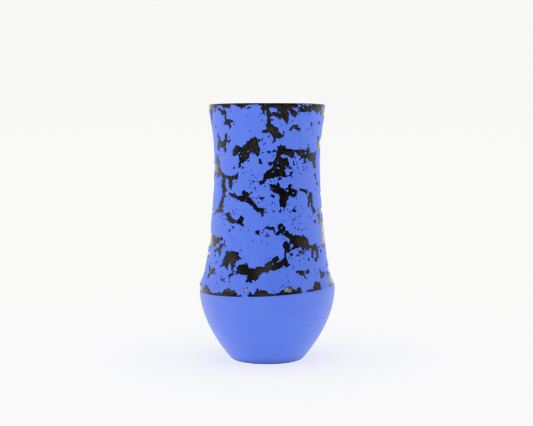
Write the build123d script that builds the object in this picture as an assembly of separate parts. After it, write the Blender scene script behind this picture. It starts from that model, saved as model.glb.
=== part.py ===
"""A stoneware vase: two thrown clay sections luted together at the shoulder, then glazed and coated.

Row frame: millimetres, +Z up, origin at the centre of the face that the foot stands on.
Every node is a solid of revolution about Z. The clay is a bowl section and an upper section, joined by a
stepped lap joint with a bed of slip in it and a coil pressed into the seam from inside. Over the clay lie a
glossy liner glaze inside, a glossy dark glaze outside above the shoulder, a thick matt blue crust on that
glaze, and a smooth matt blue slip on the belly.
"""

import os
from math import cos, hypot, radians, sin

from build123d import *

# Driving dimensions
HEIGHT = 200.0
FOOT_R = 29.2  # outer edge of the standing face
SHOULDER_R = 53.9  # widest radius, at the corner between belly and neck
SHOULDER_Z = 57.0
WAIST_R = 41.5  # narrowest outer radius
WAIST_Z = 153.0
RIM_R = 46.2  # outer radius at the lip
FLOOR_Z = 8.0  # top of the glazed floor, on the axis

# Clay and coats
WALL_WAIST = 4.6  # whole wall at the waist, coats included
WALL_SHOULDER = 5.2  # whole wall at the shoulder
LINER_T = 0.35
DARK_T = 0.35
CRUST_T = 0.45
SLIP_COAT_T = 0.50
LIP_GLAZE_R = 1.75  # radius over the glaze of the round lip
LIP_Z = HEIGHT - LIP_GLAZE_R  # the lip's arcs are centred here
LIP_CENTRE_R = RIM_R - LIP_GLAZE_R - CRUST_T
CRUST_TOP_ANGLE = 50.0  # how far the crust climbs round the lip, degrees above level
INSIDE_LEAN = (0.18, 1)  # the inside's direction, out and up, where it meets the lip

# Belly outline
BELLY_POWER = 1.93  # the belly is a power curve that meets the shoulder upright
BELLY_STEPS = 8
CORNER_DROP = 2.6  # the shoulder's corner is rounded from this far below it
CORNER_PULL = 0.2  # how far the rounded corner stays inside the sharp one

# Foot
FOOT_EDGE = 0.6  # bevel at the outer edge of the foot
RECESS_R = 22.5  # turned hollow under the floor, which leaves a foot ring
RECESS_DEPTH = 2.0
RECESS_EDGE = 1.2
COAT_START_Z = 1.0  # the belly's slip stops above the standing face

# Joint at the shoulder
STEP_R = 49.6  # radius of the upright face between the joint's two levels
STEP_LOW_Z = 58.5  # bed outside the step
STEP_HIGH_Z = 62.5  # bed inside the step
BED_T = 0.4  # slip between the two sections
COIL_R = 1.8  # coil of clay pressed into the seam from inside
COIL_CENTRE_R = 47.3

COAT_LINE_Z = 56.5  # where the glazed neck's coats give way to the belly's slip


def moved(points, distance):
    """The points of an outline, each moved to the left of the outline's own direction."""
    out = []
    last = len(points) - 1
    for i, (r, z) in enumerate(points):
        r0, z0 = points[max(i - 1, 0)]
        r1, z1 = points[min(i + 1, last)]
        length = hypot(r1 - r0, z1 - z0)
        out.append((r - distance * (z1 - z0) / length, z + distance * (r1 - r0) / length))
    return out


def belly_radius(z):
    """Outer radius of the belly at height z."""
    share = 1.0 - z / SHOULDER_Z
    return SHOULDER_R - (SHOULDER_R - FOOT_R) * share**BELLY_POWER


def belly_points(low, high):
    """Points of the belly's outline between two heights."""
    heights = [low + (high - low) * i / BELLY_STEPS for i in range(BELLY_STEPS + 1)]
    return [(belly_radius(z), z) for z in heights]


# The neck's outline, from the top of the shoulder's rounded corner up to the lip.
NECK_POINTS = [
    (53.1, 59.4),
    (51.1, 64.2),
    (48.85, 72.0),
    (46.5, 86.0),
    (44.4, 105.0),
    (42.45, 128.0),
    (WAIST_R, WAIST_Z),
    (42.15, 172.0),
    (44.2, 187.0),
    (RIM_R, LIP_Z),
]
CORNER_POINT = (SHOULDER_R - CORNER_PULL, SHOULDER_Z)

# The glazed inside, from the axis up to the lip.
INSIDE_POINTS = [
    (0.0, FLOOR_Z),
    (13.0, FLOOR_Z + 0.3),
    (24.0, 10.6),
    (33.5, 17.5),
    (41.5, 29.0),
    (46.8, 42.5),
    (SHOULDER_R - WALL_SHOULDER, 55.0),
    (46.1, 65.5),
    (43.6, 74.0),
    (41.4, 88.0),
    (39.4, 108.0),
    (37.7, 130.0),
    (WAIST_R - WALL_WAIST, WAIST_Z),
    (37.6, 172.0),
    (39.9, 187.0),
    (LIP_CENTRE_R - LIP_GLAZE_R, LIP_Z),
]


def outer_curves(inset):
    """The whole outside, moved into the wall by inset, from COAT_START_Z up to the lip's centre height."""
    belly = Spline(*moved(belly_points(COAT_START_Z, SHOULDER_Z - CORNER_DROP), inset))
    neck_points = moved(NECK_POINTS, inset)
    neck_points[-1] = (RIM_R - inset, LIP_Z)
    neck = Spline(*neck_points)
    corner = ThreePointArc(belly @ 1, (CORNER_POINT[0] - inset, CORNER_POINT[1]), neck @ 0)
    return [belly, corner, neck]


def inside_curve(depth):
    """The inside's outline, moved into the clay by depth, from the axis up to the lip's centre height."""
    points = moved(INSIDE_POINTS, -depth)
    points[0] = (0.0, FLOOR_Z - depth)
    points[-1] = (LIP_CENTRE_R - LIP_GLAZE_R + depth, LIP_Z)
    return Spline(*points, tangents=((1, 0), INSIDE_LEAN))


def on_lip(radius, angle):
    """A point of the lip's section at an angle above level, from its outer side."""
    turn = radians(angle)
    return (LIP_CENTRE_R + radius * cos(turn), LIP_Z + radius * sin(turn))


def lip_arc(radius, first, last):
    """An arc of the lip's section between two angles."""
    middle = (first + last) / 2
    return ThreePointArc(on_lip(radius, first), on_lip(radius, middle), on_lip(radius, last))


def lines(points):
    """Straight edges from each point to the next."""
    return [Line(a, b) for a, b in zip(points, points[1:], strict=False)]


def turned(*edges):
    """The solid that a closed section gives when it is turned about Z."""
    return revolve(Plane.XZ * Face(Wire(edges)), Axis.Z, 360)


def outer_coat(outer_inset, inner_inset, lip_angle):
    """A coat over the whole outside between two depths, ending at an angle round the lip."""
    outside = outer_curves(outer_inset)
    inside = outer_curves(inner_inset)
    outer_r = LIP_GLAZE_R + CRUST_T - outer_inset
    inner_r = LIP_GLAZE_R + CRUST_T - inner_inset
    return turned(
        *outside,
        lip_arc(outer_r, 0, lip_angle),
        Line(on_lip(outer_r, lip_angle), on_lip(inner_r, lip_angle)),
        lip_arc(inner_r, lip_angle, 0),
        *inside,
        Line(inside[0] @ 0, outside[0] @ 0),
    )


def fired_clay():
    """All of the clay as one solid, before it is parted into its sections."""
    outside = outer_curves(CRUST_T + DARK_T)
    coat_start = outside[0] @ 0
    base = lines(
        [
            (0.0, FLOOR_Z - LINER_T),
            (0.0, RECESS_DEPTH),
            (RECESS_R - RECESS_EDGE, RECESS_DEPTH),
            (RECESS_R, 0.0),
            (FOOT_R - FOOT_EDGE, 0.0),
            (FOOT_R, FOOT_EDGE),
            (coat_start.X, coat_start.Y),
        ]
    )
    lip = lip_arc(LIP_GLAZE_R - LINER_T, 0, 180)
    return turned(*base, *outside, lip, inside_curve(LINER_T))


def below_joint(offset):
    """All space below the stepped joint, with its beds raised and its step moved out by offset."""
    far = SHOULDER_R + 20.0
    under = -10.0
    low, high, step = STEP_LOW_Z + offset, STEP_HIGH_Z + offset, STEP_R + offset
    outline = [(0.0, under), (far, under), (far, low), (step, low), (step, high), (0.0, high)]
    return turned(*lines(outline + outline[:1]))


def seam_ring():
    """A round ring that straddles the joint's inner bed and the clay's inside face."""
    circle = Pos(COIL_CENTRE_R, STEP_HIGH_Z + BED_T / 2) * Circle(COIL_R)
    return revolve(Plane.XZ * circle, Axis.Z, 360)


def liner_glaze():
    """Glossy glaze over the floor, up the inside and over the inner half of the lip."""
    glazed, bare = LIP_GLAZE_R, LIP_GLAZE_R - LINER_T
    return turned(
        inside_curve(0.0),
        lip_arc(glazed, 180, 90),
        Line(on_lip(glazed, 90), on_lip(bare, 90)),
        lip_arc(bare, 90, 180),
        inside_curve(LINER_T),
        Line((0.0, FLOOR_Z - LINER_T), (0.0, FLOOR_Z)),
    )


def clay_nodes():
    """The clay parted at the shoulder: two sections, the slip between them and the coil in their seam."""
    clay = fired_clay()
    ring = seam_ring()
    bowl_space = below_joint(0.0)
    bedded_space = below_joint(BED_T)
    return {
        "bowl_section": (clay & bowl_space) - ring,
        "upper_section": (clay - bedded_space) - ring,
        "luting_slip": (clay & (bedded_space - bowl_space)) - ring,
        "seam_coil": clay & ring,
    }


def coat_nodes():
    """The liner, and the three outer coats, which meet at the coat line."""
    coat_line = Plane.XY.offset(COAT_LINE_Z)
    clay_inset = CRUST_T + DARK_T
    dark = outer_coat(CRUST_T, clay_inset, 90)
    crust = outer_coat(0.0, CRUST_T, CRUST_TOP_ANGLE)
    slip = outer_coat(clay_inset - SLIP_COAT_T, clay_inset, 90)
    return {
        "liner_glaze": liner_glaze(),
        "dark_glaze": split(dark, coat_line, keep=Keep.TOP),
        "blue_crust": split(crust, coat_line, keep=Keep.TOP),
        "belly_slip": split(slip, coat_line, keep=Keep.BOTTOM),
    }


def main():
    os.makedirs("parts", exist_ok=True)
    for name, shape in (clay_nodes() | coat_nodes()).items():
        export_step(shape, f"parts/{name}.step")
        print(name, "solids", len(shape.solids()), "volume", round(shape.volume), "mm3")


main()
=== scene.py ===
"""The looks of a stoneware vase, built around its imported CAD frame.

Row frame: +Z up, the foot's centre at the origin, the front faces -Y. Blender's units are metres. The vase's
sizes below are millimetres, and ride_mesh() converts them; the studio's are metres. A place on the outside
has a turn, in degrees round from the front towards +X, and a height in mm. Above the lip's centre the height
goes on as the distance along the lip's curve.
"""

import math

import bmesh
import bpy
import numpy as np
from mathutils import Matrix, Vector
from mathutils.geometry import delaunay_2d_cdt


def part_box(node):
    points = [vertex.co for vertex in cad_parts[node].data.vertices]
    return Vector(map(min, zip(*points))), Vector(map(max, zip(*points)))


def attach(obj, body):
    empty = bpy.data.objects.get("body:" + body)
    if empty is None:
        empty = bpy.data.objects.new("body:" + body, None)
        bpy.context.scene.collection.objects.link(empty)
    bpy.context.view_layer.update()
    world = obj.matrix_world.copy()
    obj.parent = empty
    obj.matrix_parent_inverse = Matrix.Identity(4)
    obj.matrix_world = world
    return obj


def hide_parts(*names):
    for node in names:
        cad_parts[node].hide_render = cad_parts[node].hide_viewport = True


MM = 0.001

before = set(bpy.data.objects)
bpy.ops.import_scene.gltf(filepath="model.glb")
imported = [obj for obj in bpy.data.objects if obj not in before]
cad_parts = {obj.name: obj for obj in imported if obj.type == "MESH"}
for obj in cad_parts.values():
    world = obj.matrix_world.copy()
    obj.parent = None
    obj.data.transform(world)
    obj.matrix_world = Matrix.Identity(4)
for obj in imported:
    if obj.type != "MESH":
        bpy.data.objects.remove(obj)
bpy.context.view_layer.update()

# ---- Torn places in the blue coat ----
# Each is a brush stroke through points of (turn, height, half width).

LIP_TEARS = [
    [(-76, 185, 1), (-71.5, 190.5, 1.8), (-69, 195, 3), (-63, 197.5, 2.6), (-58, 197.3, 1.4)],
    [(-92, 197.5, 2), (-80, 197.6, 2.2), (-69, 197.5, 2.4)],
    [(-66, 199, 0.8), (-50, 199.3, 0.6), (-36, 199.6, 0.5), (-20, 199.4, 0.5), (-3, 199.2, 0.9)],
    [(-54, 195.8, 0.9), (-50, 194.3, 1), (-47.5, 192.9, 1.7), (-43.5, 193.2, 1)],
    [(-46, 198.2, 2.4), (-41, 198.2, 1.9), (-37, 199, 1.1)],
    [(-29, 198.6, 0.9), (-25, 197.6, 1.2), (-21.5, 197.6, 0.8)], [(-19.5, 196.2, 0.3), (-16, 196.3, 0.4)],
    [(-45, 190.5, 0.6), (-44, 187, 0.8), (-42, 186.3, 1.3), (-36.5, 186.9, 0.6)],
    [(-46.5, 185, 0.5), (-42, 186, 1.4), (-40.3, 183.7, 1), (-40, 182, 0.4)],
    [(-3.5, 193, 0.8), (-3, 196.5, 2), (3, 198.9, 1.4), (10, 198.2, 2), (17, 196.8, 3.1), (23, 198, 1.7)],
    [(23, 198, 1.5), (28, 198, 1.3), (34, 197.5, 1.6), (41, 196.6, 1.5), (46, 197.6, 1.9), (52, 197, 2.5),
     (57, 196.5, 2.8), (62, 198, 1.8), (66, 198.4, 0.9)],
    [(14, 194.5, 3.1), (17, 191, 2.8), (20.3, 188, 1.8), (20.4, 185.8, 0.8)],
    [(22, 196, 1.2), (25, 193, 1.9), (28, 191.2, 1.1)], [(31, 195, 0.4), (31.3, 191, 0.3)],
    [(34.5, 195.2, 1.2), (40, 194.4, 1.4), (46.5, 194, 1)], [(56.5, 194.3, 2.2), (56.3, 192.4, 0.6)],
    [(78, 198, 2.2), (90, 198.5, 2.2), (98, 198.5, 1.6)],
    [(62, 196.5, 2.6), (68, 195, 3.4), (75, 194, 4), (83, 193, 4.5), (90, 195, 3)],
    [(0.5, 196, 1), (1.2, 192.5, 0.75), (2, 189, 1.2), (1.3, 186, 0.9), (2, 182.5, 1.9), (5.5, 179.3, 3),
     (8.5, 176.8, 2.5), (10.3, 175.5, 1.9), (14, 175.9, 0.9), (17.3, 176.9, 0.4)],
    [(2, 191.5, 0.8), (8, 191.6, 1.3), (13, 190.5, 2)],
]  # fmt: skip

NECK_TEARS = [
    [(8.5, 175.5, 1.5), (8, 173.2, 0.6), (6, 171, 0.4)], [(3, 179.2, 2), (-3.5, 178.8, 0.6)],
    [(22.8, 180.2, 0.4), (26, 182.5, 1.2), (30.5, 183.3, 0.8)], [(30, 180.9, 0.5), (34.3, 180.2, 0.7)],
    [(49.5, 183.3, 0.5), (50.5, 184.5, 0.8)], [(64, 185, 0.6), (67, 185.2, 0.8)],
    [(68, 173, 1.9), (69, 170, 3), (72, 168.5, 3.4), (82, 168, 4.6)],
    [(-60.3, 176.8, 0.7), (-59.5, 173, 1.2), (-59, 169.5, 2.2), (-62.5, 167.5, 2), (-63.5, 165.2, 1.2)],
    [(-59, 169, 2.1), (-54, 168.8, 1.8), (-51, 168.5, 1.5), (-50.2, 164.2, 0.7)],
    [(-51.5, 169, 1.3), (-47, 172.8, 1.2), (-46, 176.5, 1.1)], [(-47, 172.7, 1), (-43, 171.3, 1)],
    [(-12, 172.6, 1.6), (-8, 172.5, 0.6)],
    [(-14.5, 171, 2.8), (-17, 167.5, 3), (-22, 165.3, 3.2), (-27, 163.5, 3.6), (-32.5, 165, 2.8),
     (-36.3, 162.8, 1.8)],
    [(-14.5, 170.5, 2.8), (-11.7, 167, 2.5), (-9.5, 163, 1.7)], [(-21.5, 162.5, 2.2), (-24, 158.5, 2.4)],
    [(-18.5, 165.5, 2.4), (-14, 165, 2.2)],
    [(-25.5, 161.5, 3.2), (-26.5, 158, 2.7), (-30, 155, 1), (-31.3, 151.8, 0.5)],
    [(-7.3, 157.1, 1), (-7, 155.7, 1)],
    [(-67.5, 158.6, 2), (-65.5, 154, 3.6), (-65.5, 150, 4), (-64, 147.2, 3.6), (-59.5, 147.2, 2),
     (-51, 144.3, 1.1), (-44, 144, 1.1), (-38, 143.4, 1.5), (-34, 144.3, 1.2), (-32.8, 146.7, 0.7)],
    [(-68, 150.5, 3.6), (-76, 150, 3.2), (-86, 151, 2.6)],
    [(-41.5, 142, 2), (-41.5, 138.3, 1.6), (-41.5, 136.3, 0.7)],
    [(-52, 144, 1.3), (-53, 140.5, 2), (-54.5, 137.4, 1)],
    [(-51.7, 139, 1.1), (-51, 133.5, 2), (-51, 129, 1.2), (-53.8, 125.5, 2), (-55.5, 122, 2.3),
     (-57.5, 119.2, 2)],
    [(-57.5, 119, 1.9), (-66, 116.7, 1), (-76, 116.4, 1), (-86, 116.3, 1.3)],
    [(-56.5, 119.5, 1.7), (-53.3, 118.4, 1)],
    [(-40.5, 131.2, 1.2), (-36.5, 131, 1.8), (-32, 129.5, 1.3), (-28.5, 128.7, 1.4), (-25, 127.8, 1.9),
     (-20.5, 128, 2.3), (-17, 126.6, 1.6), (-13.5, 124.3, 0.9), (-11.5, 121.8, 1.1), (-9.5, 120, 1.6),
     (-5.5, 119.5, 1.7), (-4.5, 117.5, 1), (-4.3, 115.2, 0.5)],
    [(-21.5, 129.5, 1.6), (-23, 132, 1.4), (-24.3, 134.5, 0.6)], [(-22.5, 131.6, 1.2), (-19.3, 132.4, 0.7)],
    [(-8, 129, 0.4), (-4.5, 129.1, 0.5)],
    [(9.5, 150.5, 2.8), (5, 148.2, 2.8), (2, 147.8, 2.4), (-1.5, 145.2, 1.9), (-3.2, 142, 1.6),
     (-7.5, 140.4, 0.5)],
    [(14, 167, 1.6), (17.5, 167.3, 1.3)],
    [(13, 164.8, 2.2), (18, 163.8, 2.6), (22, 163.2, 2.6), (26.3, 163, 2), (27, 160.9, 1)],
    [(29, 164.3, 0.8), (33, 163.5, 1.1), (37, 163, 2), (42, 163, 2.2), (47, 164.5, 1.6),
     (48.7, 165.6, 0.8)],
    [(37.5, 161, 1.3), (46, 160, 1.9), (51, 160, 2.3), (55, 158.7, 2.5), (58.8, 156.5, 2.6),
     (60.3, 153, 2.2)],
    [(55, 161, 1.5), (61, 161.3, 2)],
    [(12.5, 161.5, 1.5), (12.5, 158.5, 2.1), (11, 155, 3.7), (13, 151.5, 4.2), (14, 148.5, 3),
     (17.5, 146.2, 1.3)],
    [(17, 157.5, 1.9), (20.2, 157.8, 1.1)], [(17.5, 156, 2.6), (20.3, 154.8, 1.7), (22.3, 154.6, 0.7)],
    [(5, 145.8, 1.2), (10, 145.8, 1.3)], [(22.5, 152.7, 0.5), (24.6, 151.6, 0.5)],
    [(25.7, 147.9, 0.3), (23.5, 146, 0.5), (20, 146.2, 0.4)], [(13, 143.8, 0.5), (12, 142.5, 0.4)],
    [(28.6, 156.6, 0.5), (28.6, 154.2, 0.6)], [(61.5, 146, 0.9), (63.5, 143.5, 1.1)],
    [(65, 139, 0.8), (68, 139.5, 0.9)], [(4.5, 138.3, 0.7), (9, 138, 1.3), (12, 139, 0.9)],
    [(6.3, 135.4, 1), (10, 134.4, 1.5), (13.5, 134, 2.3), (17, 133.8, 2.1), (17, 130.5, 2.7),
     (16.5, 127, 2.7)],
    [(16.6, 127, 2.6), (16.8, 124.5, 2), (17.3, 122.6, 0.9), (17.6, 121.3, 0.2)],
    [(11, 137.5, 1.2), (14, 135, 1.7), (17.5, 135.6, 1)], [(18.5, 131.5, 2), (22.3, 131.6, 1.2)],
    [(21.5, 137, 1), (24.7, 138.2, 0.6)],
    [(22.3, 136.4, 1.2), (23, 133.8, 1.2), (26, 134.2, 1.3), (28.5, 135.2, 1.4), (31.5, 134.2, 1.3),
     (34, 133.8, 0.4)],
    [(25.7, 133, 1.1), (26.6, 131, 1), (29.3, 130.8, 1.1), (30.8, 133, 1.1)],
    [(37, 134.1, 0.4), (41, 134.2, 0.7), (43.5, 134.5, 1), (45, 132.6, 1), (48, 132.8, 0.3)],
    [(5, 131.3, 0.6), (7, 130.5, 0.6)],
]  # fmt: skip

SHOULDER_TEARS = [
    [(51.7, 131.2, 0.9), (50.5, 128.5, 2), (49.5, 126, 2.1), (47.6, 123.8, 0.9)],
    [(51.5, 127, 1.9), (53, 124, 1.4), (53.6, 121.5, 0.9), (55.3, 118.2, 1.1)],
    [(54.8, 109.8, 0.5), (56.9, 110, 0.7)],
    [(62.5, 114.2, 0.6), (65.5, 113, 1.7), (66.5, 110, 1.8), (64, 108.8, 0.9)],
    [(66, 114.8, 1), (71, 117, 1.5), (79, 117.4, 2.4), (90, 117, 1.5)],
    [(67, 109.8, 1.4), (74, 106.5, 3.4), (74, 102.5, 3.6), (74.5, 98.5, 4), (75, 94, 3.8), (71, 92, 2.4),
     (68, 90.9, 1)],
    [(74, 103, 3.6), (80, 104, 5.6), (83, 98, 5.5), (80, 93, 3)],
    [(-47.8, 116.2, 0.6), (-44.3, 115.9, 1.2), (-42, 113.7, 1.7), (-38.8, 112.3, 1.7), (-34, 111.3, 1.3),
     (-31.5, 110.8, 1.2), (-28, 110.4, 1.7), (-25.8, 109.2, 0.9), (-24.6, 108.4, 0.3)],
    [(-44, 115.6, 1), (-42.7, 117.1, 0.6)], [(-27.8, 111.7, 1.5), (-27, 113.6, 1.2), (-26.8, 115.4, 0.3)],
    [(-10.4, 104.6, 0.2), (-8.8, 104.4, 1.1), (-8.2, 102.9, 0.9)],
    [(-1, 106.7, 1), (2.5, 106.3, 0.8), (6, 106, 1.2), (6.7, 104, 0.5)],
    [(26, 119.1, 0.7), (28.4, 118.6, 0.8)],
    [(11.6, 107.8, 0.8), (13.6, 109.1, 0.8), (16.2, 107.7, 0.8), (16.9, 106, 0.9), (14.5, 104.6, 1.4),
     (12.3, 105.8, 0.8), (11.6, 107.8, 0.8)],
    [(9, 102.7, 0.5), (12.5, 103.2, 0.9), (16, 103.9, 1.7), (19.7, 102.9, 1.7), (23.3, 100.7, 1.4)],
    [(23.3, 100.4, 1.7), (26.5, 97.6, 3.5), (31, 96.4, 4.3), (36, 96.4, 4.2), (39.8, 95.1, 3.2),
     (41.5, 94.3, 2)],
    [(41.5, 93.6, 1.5), (46, 92.2, 0.9), (49, 91.2, 1.6), (53, 91.5, 1.7), (54.9, 88.5, 1.5),
     (54.7, 84.5, 1.4), (53.5, 82, 1.1), (51.6, 81.4, 0.5)],
    [(49, 91, 1.2), (48.4, 88, 1.2), (48, 84.2, 0.9)], [(50, 92.7, 0.9), (54, 93, 0.7)],
    [(19.3, 95.5, 1), (17.5, 92.8, 2), (18.5, 91, 2), (20.7, 89.8, 1.1)],
    [(22.8, 90.8, 0.4), (25.3, 91.2, 0.6), (26.2, 92, 1.1)],
    [(28.5, 89.3, 0.2), (31.5, 89, 0.2), (34.7, 88.9, 0.5)],
    [(36.2, 91.5, 0.9), (36.6, 89.5, 0.5), (36.2, 87, 0.1)], [(40, 92, 1.6), (39.6, 89.8, 0.6)],
    [(42.5, 91, 0.9), (43, 89, 0.1)], [(22.9, 87, 0.3), (23.9, 86.6, 0.4)],
    [(29.4, 86, 0.4), (31.8, 86.6, 0.1)], [(36.3, 83.8, 0.1), (36.6, 82.4, 0.4)],
    [(41.8, 82.6, 0.3), (43.3, 82.2, 0.8)], [(24.2, 77.8, 0.2), (24.8, 77.2, 0.2)],
    [(8.8, 86.4, 0.7), (7.8, 84, 1.6), (5.5, 81.6, 2.1), (2, 79.5, 2.5), (0, 77.4, 2.4), (0, 75.2, 1.2)],
    [(16.5, 88.7, 0.5), (16.5, 85.5, 1.1), (16.5, 82.5, 1.9), (17.5, 80.6, 1.8), (21, 79.6, 0.6)],
    [(17.8, 84, 0.3), (18.8, 83.6, 0.1)],
    [(5, 78.4, 2.5), (10, 78.8, 2.1), (13, 80.6, 2.1), (16.5, 79.5, 2.2)],
    [(0, 76.8, 2.3), (-5, 75.9, 2.1), (-9, 74.2, 3.3), (-12.7, 73.4, 3.3), (-13.8, 70.5, 2.9),
     (-14.5, 68.3, 1.8), (-18.1, 67.9, 0.6)],
    [(-12, 72.5, 2), (-9.3, 70.4, 1.1)],
    [(-13, 74.6, 2.5), (-18, 75, 2.4), (-23, 75, 2.7), (-26.3, 74.8, 1.6)],
    [(-19.5, 77.8, 2), (-19.7, 80.2, 0.5)], [(-23, 77.4, 1.5), (-27, 77.5, 1.2)],
    [(-40.8, 88.3, 0.9), (-39.3, 85.5, 2.8), (-35.5, 84.5, 3.2), (-31.5, 85.4, 2.7), (-28.5, 87.6, 1.1)],
    [(-38, 86.8, 1.4), (-33, 86.9, 1.5), (-28.5, 88.1, 0.6)],
    [(-39, 84, 2.6), (-42.5, 81.3, 2.3), (-45, 79, 1.5), (-47, 77.5, 0.5)],
    [(-40, 80.5, 2.3), (-40.3, 77, 1), (-38.6, 75.3, 0.5)],
    [(-33, 82, 2.3), (-33.3, 79, 1.6), (-33, 76.8, 0.7)], [(-29.7, 84, 1.9), (-25.6, 83.4, 0.5)],
    [(-34, 74.9, 0.4), (-33, 72.8, 0.4)], [(-30.7, 75.2, 0.1), (-29.5, 73.4, 0.3), (-26.7, 73, 0.7)],
    [(-33, 72, 0.5), (-36, 70.6, 0.7)], [(-43.2, 66.9, 0.1), (-38.5, 67.6, 0)],
    [(-49.6, 97, 0.9), (-54, 96.3, 1), (-58, 95.3, 2.3), (-62, 94.8, 3.2), (-67, 93.6, 4.2), (-72, 93.5, 5),
     (-79, 95, 6), (-87, 96, 7), (-95, 98, 3)],
    [(-61, 97.5, 0.8), (-68, 97, 1.4)], [(-53.7, 93.3, 0.4), (-51, 92, 1.2), (-48.4, 91.9, 1)],
    [(-60, 87.6, 0.8), (-55, 88.2, 1), (-52.2, 89.2, 1.4), (-52, 86.7, 1), (-52, 84.8, 0.3)],
    [(-87, 82.6, 1.6), (-78, 83, 1.1), (-71, 83.2, 0.7)],
    [(-69.7, 75.8, 0.5), (-65.5, 73.2, 1.2), (-61, 71.8, 1.9), (-57.3, 72.8, 1.3)],
    [(-61, 71, 1.4), (-64.7, 67.7, 0.8)], [(-49.7, 64.9, 0.1), (-48, 62.8, 0.3)],
    [(28.4, 73.6, 0.7), (31, 73.5, 1.2), (32.5, 71.7, 1.3), (34.4, 70.1, 0.7)],
    [(36, 73.6, 0.3), (39.4, 73.2, 1.4), (40.8, 73.8, 0.7)],
    [(55.9, 73, 0.6), (56.5, 71, 1.4), (58.2, 69.2, 2.2), (58.2, 67.6, 1.2)],
    [(58.5, 69.5, 1.8), (61.6, 69.8, 1.3)], [(68.8, 69, 0.8), (73, 68.8, 0.9)],
    [(74.3, 74.2, 0.9), (76, 71.8, 1.6), (84, 71.5, 2.4), (92, 71, 1.5)],
    [(-20, 62.4, 0.4), (-18.5, 61.6, 1), (-16.3, 62.1, 0.5)],
]  # fmt: skip

# Small round tears: (turn, height, radius).
SMALL_TEARS = [
    (-65, 182.7, 0.7), (5, 187.4, 0.6), (1.5, 175, 0.5), (-41, 174.4, 0.5), (-36.5, 151.7, 0.5),
    (-27.2, 151.3, 0.7), (2, 163.3, 1), (7.7, 164.1, 0.7), (4, 154.7, 0.8), (43.5, 157, 1.2),
    (18.8, 151.5, 1.2), (49.5, 113.5, 0.3), (-36, 106.2, 0.9), (-39.9, 103.6, 0.4), (0.8, 100.5, 0.5),
    (7, 120.1, 0.3), (12.4, 120, 0.4), (16.9, 120.2, 0.4), (27.9, 120.6, 0.2), (15.2, 98.9, 0.4),
    (20.8, 93.2, 1.2), (31, 91.9, 0.6), (21.9, 84.1, 0.2), (31.2, 82.5, 0.4), (60, 90.7, 0.5),
    (63.2, 87, 1.1), (-33, 66, 0.2), (-45.5, 93.8, 0.9), (-45, 96, 0.5), (-58.5, 84.3, 0.5),
    (-54.5, 79.6, 0.6), (-54, 71, 0.7), (33, 68, 0.2),
]  # fmt: skip

# Dark bands along the coat line. Each is the band's upper edge, through points of (turn, height).
LINE_BANDS = [
    [(-95, 57), (-86, 58.2), (-80, 58.4), (-77.5, 60.2), (-74, 60.7), (-71, 60), (-69.5, 58), (-66, 58.3),
     (-64, 60), (-62, 60.5), (-58.5, 59.5), (-55, 58.9), (-51.5, 57.3), (-47, 56.9), (-42.5, 57.3),
     (-39.5, 58.6), (-37.5, 60.5), (-34.5, 61.7), (-32, 60.9), (-29, 60.5), (-25.5, 58.3), (-21.5, 57.4)],
    [(-15.2, 60), (-13.5, 59.3), (-11.5, 58.4), (-9.6, 60.2), (-8, 62.6), (-6.8, 60.2), (-4, 61.2),
     (0, 60.9), (2, 59.9), (5, 59.5), (8.5, 59.6), (12, 60.8), (14.5, 62), (16, 64.3), (18.5, 63.5),
     (22, 62), (24, 61.2), (28, 62.2), (29.7, 62.2)],
    [(34.9, 60.4), (37, 60.9), (40.3, 60.7), (41.2, 62.5), (43.5, 63.7), (45.3, 64.9), (47, 65.4),
     (51.2, 64.9)],
    [(63.5, 60.2), (66, 61.8), (70, 62.9), (72.5, 64.6), (75.5, 68), (80, 69.2), (86, 67), (92, 62)],
]  # fmt: skip

# Clusters of pinholes: (turn, height, reach, how many).
PINHOLE_CLUSTERS = [
    (32, 155, 9, 22), (-3, 170, 5, 9), (-22, 152, 8, 12), (-47, 70, 9, 12), (34, 87, 9, 16), (5, 144, 5, 7),
    (-48, 88, 6, 6), (30, 112, 13, 34), (48, 121, 5, 8), (12, 68, 9, 10), (-20, 92, 12, 10),
    (-38, 118, 10, 14), (-14, 139, 11, 34), (-50, 112, 12, 24), (44, 154, 7, 20), (-55, 133, 9, 12),
    (60, 120, 9, 10), (2, 122, 9, 12),
]  # fmt: skip

# Scraps of blue left standing inside the tears: (turn, height, half width).
BLUE_SCRAPS = [
    (5.3, 194.6, 1.5), (25.2, 196, 0.7), (31.5, 198, 1.1), (41.5, 198.6, 1.1), (36.5, 196.6, 0.7),
    (12, 193, 0.6), (47.5, 195.5, 0.6), (66, 196.5, 1.4), (-30.5, 162.6, 0.7), (-28.5, 160.4, 0.5),
    (44.5, 162.4, 0.8), (39.5, 162, 0.5), (11, 155.3, 0.6), (12.2, 151.5, 0.7), (6.2, 148.8, 0.6),
    (27.9, 132.7, 0.6), (14.3, 107.1, 0.6), (-22, 127.6, 0.5), (23.6, 92.9, 1.1), (5.3, 80.2, 0.6),
    (-36.6, 77.8, 1), (-30.8, 79.2, 0.6), (21.5, 134.6, 0.8), (-55.8, 93, 0.5), (19.5, 160.3, 0.8),
    (16.8, 60.2, 0.5),
]  # fmt: skip

# ---- The outside's curve, read from the CAD coats ----

FACES_OUT = 0.2  # a point on an outer face has a normal that leans outward at least this much
BELLY_END_GAP = 1.0  # the belly's own rings are read up to this far below the crust's


def vertex_values(mesh, name):
    """One vector for each of a mesh's vertices: "co" or "normal"."""
    values = np.empty(len(mesh.vertices) * 3)
    mesh.vertices.foreach_get(name, values)
    return values.reshape(-1, 3)


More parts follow.
